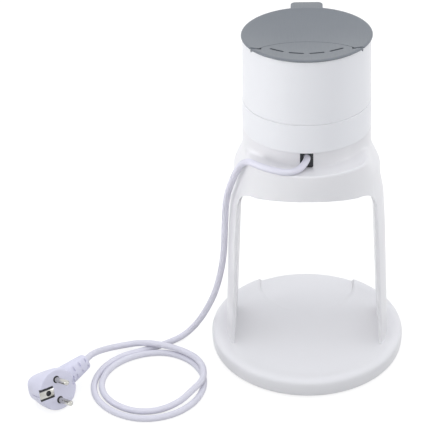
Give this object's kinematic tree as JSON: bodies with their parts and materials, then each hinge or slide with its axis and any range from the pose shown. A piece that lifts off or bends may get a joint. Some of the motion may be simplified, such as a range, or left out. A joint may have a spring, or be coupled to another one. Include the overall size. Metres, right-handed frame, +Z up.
{
  "type": "one-cup drip hot drink maker",
  "caption": "Covered kettle head on a two-legged cup stand with a round base; boils one cup and drips it into a mug below.",
  "frame": {"origin": "middle of the rubber feet's underside, under the centre of the round base", "axes": "+Z up the head's axis; -Y to the front, where the lid's thumb tab is; +Y to the back, where the cord leaves"},
  "size_m": [0.3293, 0.211, 0.312],
  "materials": {
    "stand_plastic": "glossy moulded white",
    "head_plastic": "glossy moulded white",
    "lid_plastic": "satin grey",
    "liner_plastic": "satin natural",
    "steel": "brushed stainless",
    "screw_steel": "bright zinc",
    "aluminium": "cast",
    "dark_metal": "oxidised sheath",
    "brass": "turned",
    "rubber": "matt",
    "silicone": "matt silicone",
    "dark_plastic": "moulded",
    "lamp_glass": "amber lens",
    "cord_pvc": "soft PVC",
    "plug_pvc": "moulded PVC",
    "nickel": "nickel plated"
  },
  "bodies": {
    "stand": {"base_plate": "stand_plastic", "base_cover": "stand_plastic", "base_feet": "rubber", "cover_screws": "screw_steel", "leg_screws": "screw_steel", "stand_yoke": "stand_plastic", "neck_screws": "screw_steel", "lower_casing": "head_plastic", "upper_casing": "head_plastic", "casing_screws": "screw_steel", "vent_panel": "lid_plastic", "hinge_pins": "screw_steel", "boiler_vessel": "steel", "vessel_gasket": "silicone", "heater_plate": "aluminium", "heater_element": "dark_metal", "thermostat": "aluminium", "thermal_fuse": "aluminium", "terminal_block": "liner_plastic", "outlet_tube": "steel", "outlet_nut": "brass", "valve_spring": "screw_steel", "strainer_cage": "steel", "bimetal_disc": "brass", "drip_nozzle": "liner_plastic", "button_spring": "screw_steel", "power_switch": "dark_plastic", "pilot_lens": "lamp_glass", "pilot_lamp": "lamp_glass", "cord_gland": "dark_plastic", "cord": "cord_pvc", "plug_body": "plug_pvc", "plug_pins": "nickel", "plug_earth": "nickel"},
    "lid": {"lid": "lid_plastic", "lid_liner": "liner_plastic"},
    "valve": {"valve_plunger": "silicone"},
    "button": {"power_button": "lid_plastic"}
  },
  "joints": [
    {"name": "lid_hinge", "type": "hinge", "parent": "stand", "child": "lid", "pos_m": [0, 0.0275, 0.3102], "axis": [-1, 0, 0], "range_deg": [0, 90]},
    {"name": "valve_lift", "type": "slide", "parent": "stand", "child": "valve", "axis": [0, 0, 1], "range_m": [0, 0.002], "stiffness_N_per_m": 150, "springref_m": -0.002, "deforming": ["valve_spring"]},
    {"name": "button_press", "type": "slide", "parent": "stand", "child": "button", "axis": [0, 1, 0], "range_m": [0, 0.002], "stiffness_N_per_m": 400, "springref_m": -0.001, "deforming": ["button_spring"]}
  ]
}
